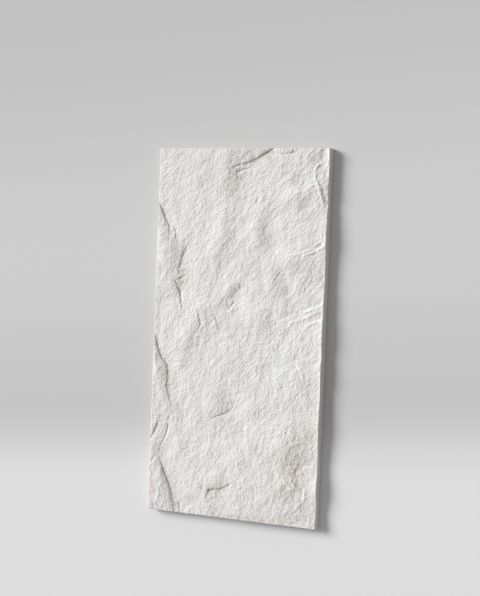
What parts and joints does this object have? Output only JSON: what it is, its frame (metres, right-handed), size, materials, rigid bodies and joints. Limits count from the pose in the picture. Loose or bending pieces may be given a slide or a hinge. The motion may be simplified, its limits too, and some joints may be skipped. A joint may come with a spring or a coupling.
{
  "type": "faux stone wall panel",
  "caption": "Lightweight moulded wall cladding board with a flat back, straight butt edges and a cast split-rock face.",
  "frame": {"origin": "middle of the flat back, in the plane that the panel lies on", "axes": "+X across the panel, +Y along it towards the end that the picture shows at the top, +Z out of the stone face"},
  "size_m": [0.6, 1.2, 0.037],
  "materials": {
    "stone_face": "matt warm white foam skin, cast in the grain of split stone"
  },
  "bodies": {
    "root": {"stone_panel": "stone_face"}
  },
  "joints": []
}
